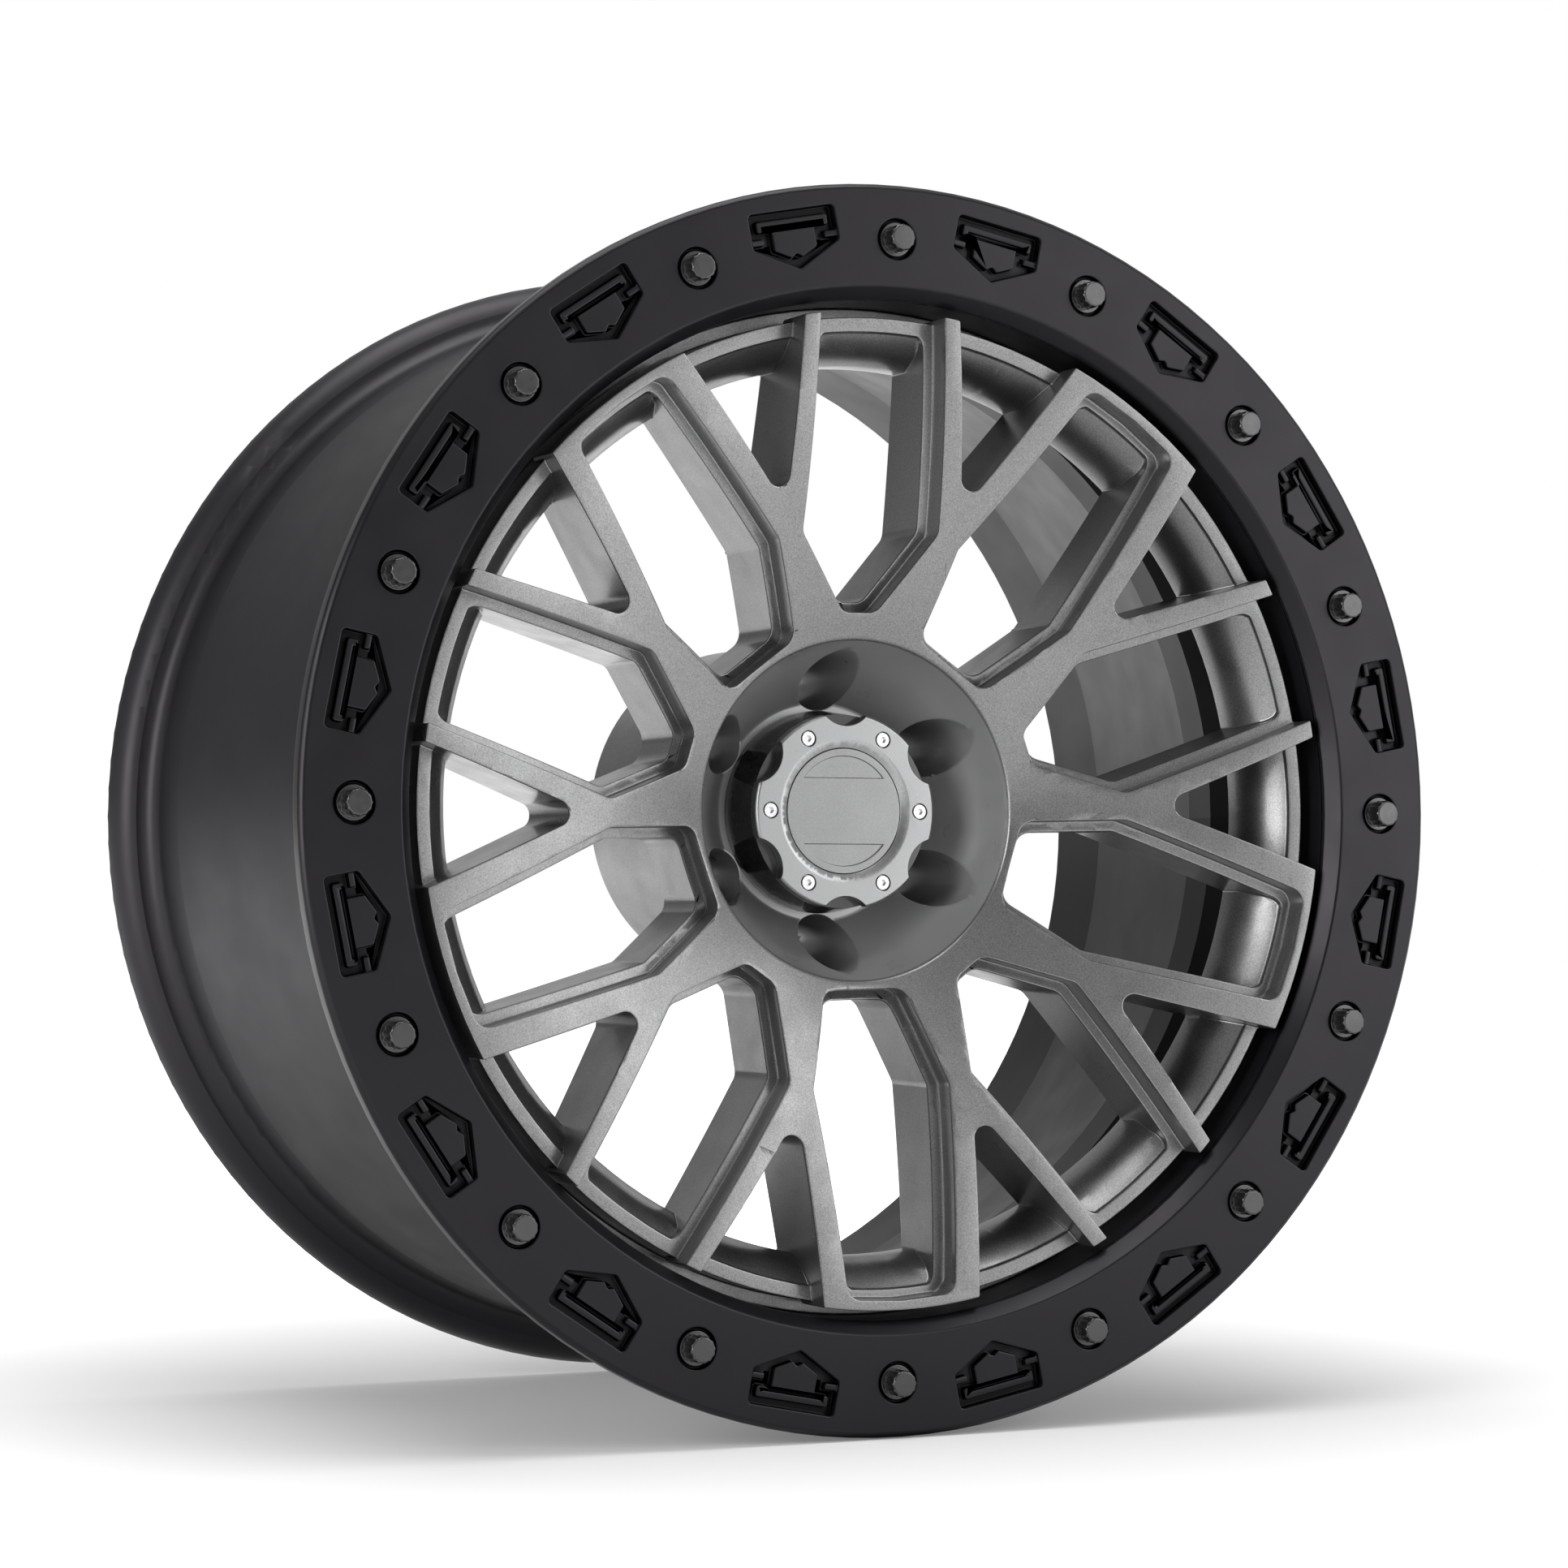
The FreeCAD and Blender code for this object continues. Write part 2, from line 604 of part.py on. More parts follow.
def ring_bolt():
    """Flanged bolt with a twelve point head, at the right hand end of the bolt circle."""
    seat = ring_counterbore_depth
    top = -bolt_head_top
    foot = V(ring_bolt_circle_r, 0, 0)
    hexagons = []
    for twist in (0, 30):
        ring = [spin(V(bolt_head_r, 0, 0), twist + 60 * k) + foot for k in range(6)]
        hexagons.append(prism(Part.makePolygon(ring + ring[:1]), top, seat - bolt_flange_t / 2))
    crown_r = bolt_head_r - bolt_top_chamfer
    dome = Part.makeCone(crown_r, crown_r + seat - top, seat - top, foot + V(0, at(top), 0), V(0, 1, 0))
    head = hexagons[0].fuse(hexagons[1]).common(dome)
    flange = pin(bolt_flange_r, ring_bolt_circle_r, 0, seat - bolt_flange_t, seat)
    shank = pin(bolt_r - insert_gap, ring_bolt_circle_r, 0, seat - over_cut, seat + bolt_length)
    return head.fuse([flange, shank]).removeSplitter()


def ring_insert():
    """Threaded bush in the barrel's front wall."""
    front = ring_t + insert_recess
    outer = pin(insert_r, ring_bolt_circle_r, 0, front, front + insert_length)
    return outer.cut(pin(bolt_r, ring_bolt_circle_r, 0, front, front + insert_length))


bezel_rear = cap_front_depth + bezel_t
plug_r = cavity_r - cap_plug_clearance
disc_front = cap_front_depth + disc_recess


def cap_body():
    """Cup with a base flange on the bowl's floor and a plug in the hub's cavity."""
    floor = bowl_floor_depth
    plug_rear = floor + cap_plug_length
    inner_r = plug_r - 2 * seal_cord_r - cap_wall
    body = turned((0, bezel_rear), (cap_front_r, bezel_rear), (cap_base_r, floor - cap_base_t),
                  (cap_base_r, floor), (plug_r, floor), (plug_r, plug_rear), (inner_r, plug_rear),
                  (inner_r, bezel_rear + 2 * cap_screw_length), (0, bezel_rear + 2 * cap_screw_length))
    seal_at = floor + seal_setback
    clip_at = floor + clip_setback
    seal_half = seal_cord_r + groove_gap
    clip_half = clip_wire_r + groove_gap
    cuts = [tube(cavity_r, plug_r - 2 * seal_cord_r, seal_at - seal_half, seal_at + seal_half),
            tube(cavity_r, plug_r - 2 * clip_wire_r, clip_at - clip_half, clip_at + clip_half)]
    for k in range(cap_screw_count):
        angle = 360.0 * k / cap_screw_count
        cuts.append(pin(cap_screw_r + groove_gap, cap_screw_circle_r, angle, bezel_rear - over_cut,
                        cap_front_depth + cap_screw_head_t + cap_screw_length + over_cut))
    return body.cut(cuts)


def cap_bezel():
    """Front ring of the cap with six scallops, a dish and a seat for the disc."""
    seat_depth = disc_front + disc_t
    seat_r = disc_r + disc_gap
    hole_r = disc_r - disc_seat_w
    body = turned((bezel_dish_r, cap_front_depth), (bezel_r - bezel_chamfer, cap_front_depth),
                  (bezel_r, cap_front_depth + bezel_chamfer), (bezel_r, bezel_rear), (hole_r, bezel_rear),
                  (hole_r, seat_depth), (seat_r, seat_depth), (seat_r, disc_front))
    scallop = pin(bezel_scallop_r, bezel_scallop_floor_r + bezel_scallop_r, 0,
                  cap_front_depth - over_cut, bezel_rear + over_cut)
    cuts = around(scallop, cap_screw_count, 180.0 / cap_screw_count)
    head_r = cap_screw_head_r + cap_screw_gap
    for k in range(cap_screw_count):
        angle = 360.0 * k / cap_screw_count
        cuts.append(pin(head_r, cap_screw_circle_r, angle, cap_front_depth - over_cut,
                        cap_front_depth + cap_screw_head_t))
        cuts.append(pin(cap_screw_r + groove_gap, cap_screw_circle_r, angle, cap_front_depth - over_cut,
                        bezel_rear + over_cut))
    return body.cut(cuts)


def cap_disc():
    """Plain disc with two sunk panels, one above and one below its middle."""
    body = tube(disc_r, 0, disc_front, disc_front + disc_t)
    panel = tube(disc_panel_r, 0, disc_front - over_cut, disc_front + disc_panel_depth)
    keep = Part.makeBox(2 * disc_r, disc_t + 2 * over_cut, 2 * disc_panel_chord,
                        V(-disc_r, at(disc_front - over_cut), -disc_panel_chord))
    return body.cut(panel.cut(keep))


def cap_screw():
    front = cap_front_depth
    head = pin(cap_screw_head_r, cap_screw_circle_r, 0, front, front + cap_screw_head_t)
    shank = pin(cap_screw_r, cap_screw_circle_r, 0, front + cap_screw_head_t / 2,
                front + cap_screw_head_t + cap_screw_length)
    foot = V(cap_screw_circle_r, 0, 0)
    ring = [spin(V(cap_screw_socket_r, 0, 0), 60 * k) + foot for k in range(6)]
    socket = prism(Part.makePolygon(ring + ring[:1]), front - over_cut, front + cap_screw_socket_depth)
    return head.fuse(shank).cut(socket)


def cap_seal():
    """Rubber ring in the front groove of the plug."""
    return Part.makeTorus(plug_r - seal_cord_r, seal_cord_r,
                          V(0, at(bowl_floor_depth + seal_setback), 0), V(0, 1, 0))


def cap_clip():
    """Split wire ring in the rear groove of the plug, open at the bottom."""
    ring_r = plug_r - clip_wire_r
    depth = bowl_floor_depth + clip_setback
    start = spin(V(ring_r, at(depth), 0), 270 + clip_opening / 2)
    along = spin(V(0, 0, 1), 270 + clip_opening / 2)
    section = Part.Face(Part.Wire(Part.makeCircle(clip_wire_r, start, along)))
    return section.revolve(V(0, 0, 0), axis_dir, 360 - clip_opening)


def write(name, shapes):
    """One node as a STEP file, from one solid or a group of like solids."""
    solids = [solid for shape in shapes for solid in shape.Solids]
    node = solids[0] if len(solids) == 1 else Part.makeCompound(solids)
    node.exportStep("parts/" + name + ".step")
    print(name, len(solids), "solids", round(node.Volume / 1000.0, 1), "cm3", node.isValid())


os.makedirs("parts", exist_ok=True)
star = rib_layer().fuse(web_layer()).removeSplitter()
write("hub", [hub(star)])
write("spoke_stems", spoke_stems(star))
write("spoke_arms", spoke_arms(star))
write("spoke_rim", spoke_rim(star))
write("barrel", [barrel()])
write("bead_ring", [bead_ring()])
write("ring_bolts", around(ring_bolt(), ring_bolt_count, first_bolt_angle))
write("ring_inserts", around(ring_insert(), ring_bolt_count, first_bolt_angle))
write("cap_body", [cap_body()])
write("cap_bezel", [cap_bezel()])
write("cap_disc", [cap_disc()])
write("cap_screws", around(cap_screw(), cap_screw_count))
write("cap_seal", [cap_seal()])
write("cap_clip", [cap_clip()])
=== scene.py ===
import math

import bmesh
import bpy
from bpy.props import FloatProperty, FloatVectorProperty, PointerProperty
from bpy.types import Operator, Panel, PropertyGroup
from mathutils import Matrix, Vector
from mathutils.bvhtree import BVHTree
from mathutils.geometry import intersect_point_line


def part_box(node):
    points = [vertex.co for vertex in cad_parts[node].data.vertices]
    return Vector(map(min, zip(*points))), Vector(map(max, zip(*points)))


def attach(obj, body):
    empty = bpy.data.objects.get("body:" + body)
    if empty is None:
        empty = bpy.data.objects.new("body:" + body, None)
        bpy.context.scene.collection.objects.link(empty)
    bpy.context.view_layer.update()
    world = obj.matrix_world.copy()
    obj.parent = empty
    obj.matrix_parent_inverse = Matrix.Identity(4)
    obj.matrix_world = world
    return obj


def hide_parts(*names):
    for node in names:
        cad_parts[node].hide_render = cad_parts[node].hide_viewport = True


bl_info = {
    "name": "Bolted ring car wheel",
    "version": (1, 0, 0),
    "blender": (4, 5, 0),
    "location": "View3D > Sidebar > Wheel",
    "description": "Finishes the packed car wheel and sets it on a pale studio floor",
    "category": "Object",
}

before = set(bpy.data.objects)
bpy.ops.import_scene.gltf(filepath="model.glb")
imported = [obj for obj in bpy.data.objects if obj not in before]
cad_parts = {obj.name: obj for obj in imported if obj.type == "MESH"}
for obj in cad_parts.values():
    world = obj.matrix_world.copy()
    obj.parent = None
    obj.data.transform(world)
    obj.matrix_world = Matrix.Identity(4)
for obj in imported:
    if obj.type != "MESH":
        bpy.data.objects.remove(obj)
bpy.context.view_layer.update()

RING_LOW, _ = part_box("bead_ring")
FLOOR_GAP = 0.0005

# Tolerances for sewing the CAD meshes, in metres
SEAM_NEAR = 0.00004
COVER_NEAR = 0.0001
SEW_NEAR = 0.00015
WELD_NEAR = 0.00006

# Where the solids of the spoke star meet, in metres and degrees
STAR_NODES = ("hub", "spoke_stems", "spoke_arms", "spoke_rim")
STAR_STEP, STAR_CLOCK = 36.0, 1.2
STAR_CUTS = (0.086261, 0.128, 0.1527)
STAR_RIM = 0.200
BOWL_EDGE = 0.0768
BOWL_METAL = 0.45

# Diffuse and mirrored light of the world: a base level and what each direction adds
WORLD_DIFFUSE = 0.38
MIRROR_BASE, MIRROR_LEAST = 0.27, 0.02
MIRROR_RIGHT, MIRROR_UP, MIRROR_DEPTH = 0.34, 0.34, 0.17
STRIP_SLOPE, STRIP_START = -3.5, -2.6

# The floor's own white sets in between these distances from the wheel
FLOOR_FADE = (0.25, 1.0)
FLOOR_WHITE = 0.86
LIGHT_AIM = (0, -0.12, 0)


# Sizes and colours that a user would change

def colour(name, description, default):
    return FloatVectorProperty(name=name, description=description, subtype="COLOR", size=3,
                               min=0.0, max=1.0, default=default)


def edge_width(name, description, default):
    return FloatProperty(name=name, description=description, unit="LENGTH", precision=5,
                         min=0.0, max=0.005, default=default)


class WheelFinish(PropertyGroup):
    """Colours of the painted and plain surfaces."""
    gunmetal: colour("Gunmetal", "Metallic paint of the spoke star", (0.175, 0.176, 0.178))
    # Painted light: the bowl's grey is paler than the gunmetal, to brighten the deep bowl that its
    # own walls shade. Its smooth grainless paint is the turned finish.
    bowl_grey_and_painted_light: colour("Bowl grey", "Smooth turned bowl round the centre cap", (0.34, 0.342, 0.345))
    satin_black: colour("Satin black", "Paint of the bead ring and the barrel",
                        (0.0055, 0.0049, 0.0060))
    bolt_black: colour("Bolt black", "Coating of the ring bolts", (0.012, 0.012, 0.0125))
    cap_black: colour("Cap black", "Gloss body of the centre cap", (0.006, 0.006, 0.0065))
    cap_silver: colour("Cap silver", "Bezel of the centre cap", (0.26, 0.262, 0.265))
    disc_grey: colour("Disc grey", "Plain disc in the centre cap", (0.21, 0.212, 0.214))
    steel: colour("Steel", "Screws, inserts and retaining ring", (0.60, 0.60, 0.61))
    rubber: colour("Rubber", "Seal of the centre cap", (0.018, 0.018, 0.018))


class WheelEdges(PropertyGroup):
    """Widths of the broken edges that catch the light."""
    spoke: edge_width("Spoke edge", "Rounding along the ribs of the spokes", 0.0009)
    ring: edge_width("Ring edge", "Rounding along the pockets and rims of the ring", 0.0008)
    bolt: edge_width("Bolt edge", "Rounding on the bolt heads", 0.0004)
    cap: edge_width("Cap edge", "Rounding on the cap's bezel and disc", 0.0004)


class WheelStage(PropertyGroup):
    """Camera, floor and lights."""
    camera_azimuth: FloatProperty(name="Azimuth", description="Camera's turn round the wheel",
                                  subtype="ANGLE", default=math.radians(-25.15))
    camera_rise: FloatProperty(name="Rise", description="Upward tilt of the camera",
                               subtype="ANGLE", default=math.radians(1.69))
    camera_place: FloatVectorProperty(name="Place", description="Position of the camera",
                                      unit="LENGTH", size=3, default=(-0.8189, -1.7932, -0.0429))
    camera_lens: FloatProperty(name="Lens", description="Focal length on a 36 mm sensor",
                               unit="CAMERA", default=94.66)
    floor_size: FloatProperty(name="Floor", description="Side of the square floor", unit="LENGTH",
                              default=24.0)
    floor_glow: FloatProperty(name="Floor glow",
                              description="Added white that the camera sees on the floor",
                              min=0.0, max=1.0, default=0.14)


# Node helpers for the materials

class Finish:
    """One node material that is filled step by step."""

    def __init__(self, name):
        self.material = bpy.data.materials.new(name)
        self.material.use_nodes = True
        self.tree = self.material.node_tree
        self.shader = self.tree.nodes["Principled BSDF"]
        self.coords = self.node("ShaderNodeTexCoord").outputs["Object"]

    def node(self, kind, **settings):
        made = self.tree.nodes.new(kind)
        for key, value in settings.items():
            setattr(made, key, value)
        return made

    def link(self, source, target):
        self.tree.links.new(source, target)

    def set(self, **sockets):
        for key, value in sockets.items():
            self.shader.inputs[key.replace("_", " ")].default_value = value
        return self

    def noise(self, scale, detail=2.0, stretch=(1, 1, 1)):
        mapping = self.node("ShaderNodeMapping")
        mapping.inputs["Scale"].default_value = stretch
        self.link(self.coords, mapping.inputs["Vector"])
        texture = self.node("ShaderNodeTexNoise")
        texture.inputs["Scale"].default_value = scale
        texture.inputs["Detail"].default_value = detail
        self.link(mapping.outputs["Vector"], texture.inputs["Vector"])
        return texture.outputs["Fac"]

    def spread(self, fac, low, high, start=0.3, end=0.7):
        """The factor mapped from start..end to low..high, as a number."""
        ramp = self.node("ShaderNodeMapRange", clamp=True)
        limits = {"From Min": start, "From Max": end, "To Min": low, "To Max": high}
        for key, value in limits.items():
            ramp.inputs[key].default_value = value
        self.link(fac, ramp.inputs["Value"])
        return ramp.outputs["Result"]

    def tint(self, fac, dark, light):
        """Base colour that wanders between two colours."""
        mix = self.node("ShaderNodeMix", data_type="RGBA")
        mix.inputs["A"].default_value = (*dark, 1)
        mix.inputs["B"].default_value = (*light, 1)
        self.link(fac, mix.inputs["Factor"])
        self.link(mix.outputs["Result"], self.shader.inputs["Base Color"])
        return self

    def bump(self, fac, strength, depth):
        bump = self.node("ShaderNodeBump")
        bump.inputs["Strength"].default_value = strength
        bump.inputs["Distance"].default_value = depth
        self.link(fac, bump.inputs["Height"])
        self.link(bump.outputs["Normal"], self.shader.inputs["Normal"])
        return self

    def shadow_creases(self, reach, least):
        """Darkens the colour and the gloss in hollows that little light reaches."""
        hollow = self.node("ShaderNodeAmbientOcclusion", samples=8)
        hollow.inputs["Distance"].default_value = reach
        level = self.spread(hollow.outputs["AO"], least, 1.0, 0.25, 0.8)
        base, gloss = self.shader.inputs["Base Color"], self.shader.inputs["Specular IOR Level"]
        mix = self.node("ShaderNodeMix", data_type="RGBA", blend_type="MULTIPLY")
        mix.inputs["Factor"].default_value = 1.0
        self.link(base.links[0].from_socket, mix.inputs["A"])
        self.link(level, mix.inputs["B"])
        self.link(mix.outputs["Result"], base)
        product = self.node("ShaderNodeMath", operation="MULTIPLY")
        product.inputs[1].default_value = gloss.default_value
        self.link(level, product.inputs[0])
        self.link(product.outputs[0], gloss)
        return self

    def turned_middle_with_painted_light(self, rgb, metal, radius):
        """Makes the paint smooth and paler out to a radius round the wheel's axis. The smooth
        grainless paint is the bowl's turned finish. The paler colour is painted light for the deep
        bowl, which its own walls shade.
        """
        across = self.node("ShaderNodeMapping")
        across.inputs["Scale"].default_value = (1, 0, 1)
        self.link(self.coords, across.inputs["Vector"])
        reach = self.node("ShaderNodeVectorMath", operation="LENGTH")
        self.link(across.outputs["Vector"], reach.inputs[0])
        within = self.spread(reach.outputs["Value"], 1.0, 0.0, radius - 0.0004, radius)
        base, metallic = self.shader.inputs["Base Color"], self.shader.inputs["Metallic"]
        mix = self.node("ShaderNodeMix", data_type="RGBA")
        mix.inputs["B"].default_value = (*rgb, 1)
        self.link(within, mix.inputs["Factor"])
        self.link(base.links[0].from_socket, mix.inputs["A"])
        self.link(mix.outputs["Result"], base)
        self.link(self.spread(within, metallic.default_value, metal, 0.0, 1.0), metallic)
        return self

    def rough(self, fac, low, high):
        self.link(self.spread(fac, low, high), self.shader.inputs["Roughness"])
        return self


def shade(rgb, factor):
    return tuple(min(1.0, max(0.0, c * factor)) for c in rgb)


def metallic_paint(name, rgb, grain, contrast, roughness, metal, bowl=None):
    """Flake paint: fine light and dark grain over a soft metal base, under a clear coat."""
    finish = Finish(name)
    finish.set(Metallic=metal, Coat_Weight=0.25, Coat_Roughness=0.12, Specular_IOR_Level=0.5)
    flake = finish.noise(grain, detail=3.0)
    finish.tint(finish.spread(flake, 0.0, 1.0, 0.34, 0.66),
                shade(rgb, 1 - contrast), shade(rgb, 1 + contrast))
    finish.rough(finish.noise(60.0), roughness - 0.04, roughness + 0.05)
    # Painted light: inside BOWL_EDGE the bowl gets the paler grey, as well as smooth paint without
    # flake grain.
    if bowl:
        finish.turned_middle_with_painted_light(bowl, BOWL_METAL, BOWL_EDGE)
    return finish.bump(flake, 0.015, 0.00006).material


def satin_paint(name, rgb, roughness, specular):
    """Smooth dark paint with a faint orange peel."""
    finish = Finish(name)
    finish.set(Metallic=0.0, Specular_IOR_Level=specular, Specular_Tint=(0.97, 0.93, 1.0, 1))
    cloud = finish.noise(9.0)
    finish.tint(cloud, shade(rgb, 0.88), shade(rgb, 1.12))
    finish.rough(finish.noise(40.0), roughness - 0.03, roughness + 0.04)
    finish.shadow_creases(0.007, 0.06)
    return finish.bump(finish.noise(700.0), 0.05, 0.00008).material


def gloss_coat(name, rgb, roughness):
    """Hard dark coating with small scuffs in its gloss."""
    finish = Finish(name)
    finish.set(Metallic=0.0, Specular_IOR_Level=0.55, Coat_Weight=0.4, Coat_Roughness=0.08)
    finish.tint(finish.noise(120.0), shade(rgb, 0.8), shade(rgb, 1.25))
    return finish.rough(finish.noise(260.0), roughness - 0.05, roughness + 0.08).material


def turned_steel(name, rgb, roughness):
    """Plain metal with fine turning marks."""
    finish = Finish(name)
    finish.set(Metallic=1.0)
    marks = finish.noise(900.0, stretch=(1, 4, 1))
    finish.tint(marks, shade(rgb, 0.85), shade(rgb, 1.08))
    finish.rough(marks, roughness - 0.05, roughness + 0.08)
    return finish.bump(marks, 0.08, 0.00005).material


def soft_rubber(name, rgb):
    """Matt black rubber with a fine grain."""
    finish = Finish(name)
    finish.set(Metallic=0.0, Specular_IOR_Level=0.3)
    grain = finish.noise(800.0)
    finish.tint(grain, shade(rgb, 0.8), shade(rgb, 1.3))
    finish.rough(grain, 0.65, 0.8)
    return finish.bump(grain, 0.1, 0.0001).material


# Modelling helpers

def only(obj):
    """Selects one object alone and makes it active."""
    bpy.ops.object.select_all(action="DESELECT")
    obj.select_set(True)
    bpy.context.view_layer.objects.active = obj


def apply_modifier(obj, kind, **settings):
    only(obj)
    modifier = obj.modifiers.new(kind.title(), kind)
    for key, value in settings.items():
        setattr(modifier, key, value)
    bpy.ops.object.modifier_apply(modifier=modifier.name)


def paint(node, material):
    """Puts a material in every slot of a CAD node."""
    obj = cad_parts[node]
    if not obj.material_slots:
        obj.data.materials.append(material)
    for place in obj.material_slots:
        place.material = material


def star_seams(point):
    """Names of the joint faces of the star that a point lies on."""
    reach = math.hypot(point.x, point.z)
    turn = math.degrees(math.atan2(point.z, point.x)) - STAR_CLOCK
    away = math.radians(abs(turn - STAR_STEP * round(turn / STAR_STEP)))
    found = {cut for cut in STAR_CUTS if abs(reach * math.cos(away) - cut) < SEAM_NEAR}
    if abs(reach - STAR_RIM) < SEAM_NEAR:
        found.add("rim")
    if reach * away < SEAM_NEAR:
        found.add("middle")
    if reach * (math.radians(STAR_STEP / 2) - away) < SEAM_NEAR:
        found.add("side")
    return found


def covered(tree, face):
    """Whether another solid's face lies on this one, looking the other way."""
    close = tree.find_nearest_range(face.calc_center_median(), COVER_NEAR)
    return any(normal.dot(face.normal) < -0.95 for _, normal, _, _ in close)


def sew(grid):
    """Gives both sides of an open joint the same corners, so that they can be merged."""
    rim = [edge for edge in grid.edges if edge.is_boundary]
    grid.verts.index_update()
    corners = sorted({vert for edge in rim for vert in edge.verts}, key=lambda vert: vert.index)
    for vert in corners:
        for edge in list(rim):
            if vert in edge.verts:
                continue
            start, end = (other.co for other in edge.verts)
            foot, share = intersect_point_line(vert.co, start, end)
            if 0.0 < share < 1.0 and (foot - vert.co).length < SEW_NEAR:
                if min((foot - start).length, (foot - end).length) > SEW_NEAR:
                    added, _ = bmesh.utils.edge_split(edge, edge.verts[0], share)
                    rim.append(added)
    return [vert for vert in grid.verts if vert.is_boundary]


def weld(mesh, star):
    """Merges the split corners of a CAD mesh, and the star's solids where they meet."""
    grid = bmesh.new()
    grid.from_mesh(mesh)
    if star:
        tree = BVHTree.FromBMesh(grid)
        seams = {vert: star_seams(vert.co) for vert in grid.verts}
        hidden = [face for face in grid.faces
                  if set.intersection(*(seams[vert] for vert in face.verts))
                  and covered(tree, face)]
        bmesh.ops.delete(grid, geom=hidden, context="FACES")
    bmesh.ops.remove_doubles(grid, verts=grid.verts, dist=WELD_NEAR)
    if star:
        bmesh.ops.remove_doubles(grid, verts=sew(grid), dist=SEW_NEAR + 0.00001)
    grid.to_mesh(mesh)
    grid.free()


def mark_sharp_edges(mesh, angle):
    """Gives the sharp edges a bevel weight."""
    weights = mesh.attributes.get("bevel_weight_edge")
    if weights is None:
        weights = mesh.attributes.new("bevel_weight_edge", "FLOAT", "EDGE")
    grid = bmesh.new()
    grid.from_mesh(mesh)
    layer = grid.edges.layers.float["bevel_weight_edge"]
    for edge in grid.edges:
        sharp = len(edge.link_faces) == 2 and edge.calc_face_angle(0.0) > angle
        edge[layer] = 1.0 if sharp else 0.0
    grid.to_mesh(mesh)
    grid.free()


def broken_edges(nodes, name, width, material, segments=2, smooth_angle=28.0):
    """A copy of CAD nodes whose sharp edges are rounded, in place of the nodes."""
    copies = []
    for node in nodes:
        copy = bpy.data.objects.new(name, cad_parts[node].data.copy())
        bpy.context.scene.collection.objects.link(copy)
        copies.append(copy)
    piece = copies[0]
    only(piece)
    if len(copies) > 1:
        for copy in copies:
            copy.select_set(True)
        bpy.ops.object.join()
    piece.data.materials.clear()
    piece.data.materials.append(material)
    if piece.data.has_custom_normals:
        bpy.ops.mesh.customdata_custom_splitnormals_clear()
    weld(piece.data, star=len(copies) > 1)
    bpy.ops.object.mode_set(mode="EDIT")
    bpy.ops.mesh.select_all(action="SELECT")
    bpy.ops.mesh.dissolve_limited(angle_limit=math.radians(0.4))
    bpy.ops.object.mode_set(mode="OBJECT")
    mark_sharp_edges(piece.data, math.radians(smooth_angle))
    apply_modifier(piece, "BEVEL", width=width, segments=segments, limit_method="WEIGHT",
                   use_clamp_overlap=False, loop_slide=False, harden_normals=False)
    only(piece)
    bpy.ops.object.shade_smooth_by_angle(angle=math.radians(smooth_angle))
    apply_modifier(piece, "WEIGHTED_NORMAL", keep_sharp=True, weight=60)
    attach(piece, "root")
    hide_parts(*nodes)
    return piece


class WheelOperator:
    """Shared settings of the build steps."""
    bl_options = {"REGISTER", "UNDO"}


class WHEEL_OT_spoke_centre(WheelOperator, Operator):
    """Paint the spoke centre and round the edges of its ribs and windows"""
    bl_idname = "wheel.spoke_centre"
    bl_label = "Spoke centre"

    def execute(self, context):
        finish, edges = context.scene.wheel_finish, context.scene.wheel_edges
        material = metallic_paint("gunmetal_flake", finish.gunmetal, 1700.0, 0.24, 0.31, 0.82,
                                  bowl=finish.bowl_grey_and_painted_light)
        for node in STAR_NODES:
            paint(node, material)
        broken_edges(STAR_NODES, "spoke_star_dressed", edges.spoke, material)
        return {"FINISHED"}


class WHEEL_OT_barrel(WheelOperator, Operator):
    """Paint the barrel satin black"""
    bl_idname = "wheel.barrel"
    bl_label = "Barrel"

    def execute(self, context):
        rgb = context.scene.wheel_finish.satin_black
        paint("barrel", satin_paint("barrel_satin_black", shade(rgb, 1.2), 0.40, 0.36))
        paint("ring_inserts", turned_steel("insert_steel", context.scene.wheel_finish.steel, 0.35))
        return {"FINISHED"}


class WHEEL_OT_bead_ring(WheelOperator, Operator):
    """Paint the bead ring and round the edges of its pockets"""
    bl_idname = "wheel.bead_ring"
    bl_label = "Bead ring"

    def execute(self, context):
        finish, edges = context.scene.wheel_finish, context.scene.wheel_edges
        material = satin_paint("ring_satin_black", finish.satin_black, 0.30, 0.24)
        paint("bead_ring", material)
        broken_edges(("bead_ring",), "bead_ring_dressed", edges.ring, material)
        return {"FINISHED"}


class WHEEL_OT_ring_bolts(WheelOperator, Operator):
    """Coat the ring bolts and break the edges of their twelve point heads"""
    bl_idname = "wheel.ring_bolts"
    bl_label = "Ring bolts"

    def execute(self, context):
        finish, edges = context.scene.wheel_finish, context.scene.wheel_edges
        material = gloss_coat("bolt_gloss_black", finish.bolt_black, 0.28)
        paint("ring_bolts", material)
        broken_edges(("ring_bolts",), "ring_bolts_dressed", edges.bolt, material)
        return {"FINISHED"}


